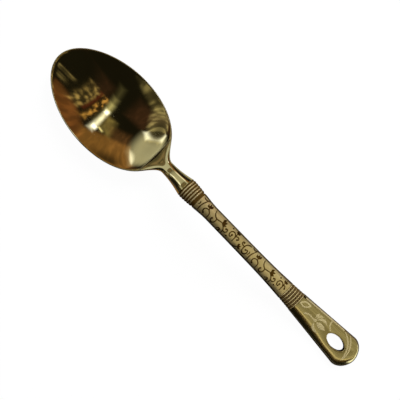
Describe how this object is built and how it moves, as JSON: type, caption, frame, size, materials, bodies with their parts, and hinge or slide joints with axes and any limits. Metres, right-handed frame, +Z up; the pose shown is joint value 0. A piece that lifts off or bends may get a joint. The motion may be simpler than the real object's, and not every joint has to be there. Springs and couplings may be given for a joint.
{
  "type": "serving spoon",
  "caption": "Long brass serving spoon: oval bowl, slim neck, beaded ferrule, arched hollow grip etched with a vine, studded band and flared tail with an oval hanging hole.",
  "frame": {"origin": "on the table plane, midway between the bowl's tip and the tail's end, on the spoon's centre line", "axes": "+X along the spoon from the bowl towards the tail, +Y across it, +Z up out of the bowl's hollow"},
  "size_m": [0.256, 0.054, 0.0256],
  "materials": {
    "polished_brass": "bright polish with fine lengthwise polishing lines",
    "etched_brass": "satin with a dark etched vine scroll",
    "aged_brass": "polished ribs and studs over darkened grooves",
    "poured_resin": "hidden cutler's resin"
  },
  "bodies": {
    "root": {"bowl_and_tang": "polished_brass", "ribbed_ferrule": "aged_brass", "grip_front_shell": "etched_brass", "grip_back_shell": "etched_brass", "grip_core": "poured_resin", "notched_band": "aged_brass", "tail_front_shell": "polished_brass", "tail_back_shell": "polished_brass", "hanging_eyelet": "polished_brass"}
  },
  "joints": []
}
